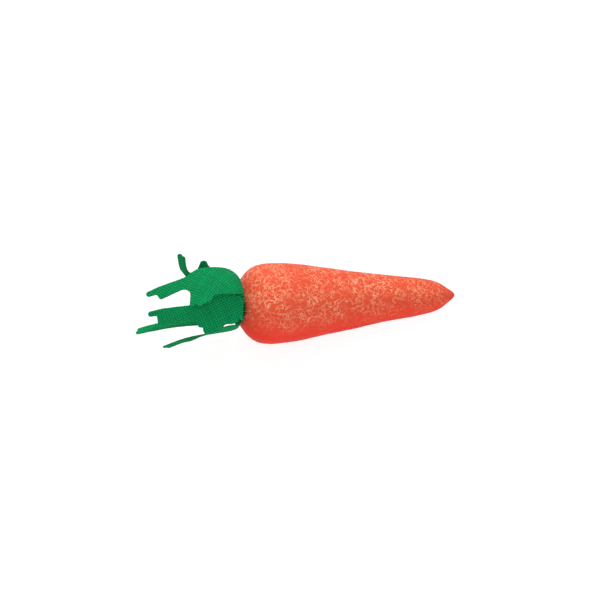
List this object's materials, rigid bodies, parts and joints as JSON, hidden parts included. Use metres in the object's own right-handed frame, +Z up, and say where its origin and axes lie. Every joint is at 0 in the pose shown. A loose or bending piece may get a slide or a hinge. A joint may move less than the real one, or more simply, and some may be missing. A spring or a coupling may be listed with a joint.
{
  "type": "craft carrot",
  "caption": "Small carrot for craft work: a tapering pressed cotton root with a pointed tip, and stiff woven leaves glued into a socket in its crown, lying on its side",
  "frame": {"origin": "middle of the bottom of the bounding box, on the surface that the carrot lies on", "axes": "+X towards the root's tip, +Z up, +Y towards the side away from the front leaf"},
  "size_m": [0.0656, 0.0161, 0.0183],
  "materials": {
    "carrot_paint": "pressed cotton pulp with a thin satin coat of orange-red paint",
    "leaf_cloth": "plain-woven cotton, dyed green and stiffened, with cut edges",
    "dried_glue": "clear yellowish dried glue"
  },
  "bodies": {
    "root": {"root": "carrot_paint", "glue_plug": "dried_glue", "leaf_top": "leaf_cloth", "leaf_front": "leaf_cloth", "leaf_low": "leaf_cloth", "leaf_under": "leaf_cloth", "leaf_far": "leaf_cloth", "leaf_back": "leaf_cloth"}
  },
  "joints": []
}
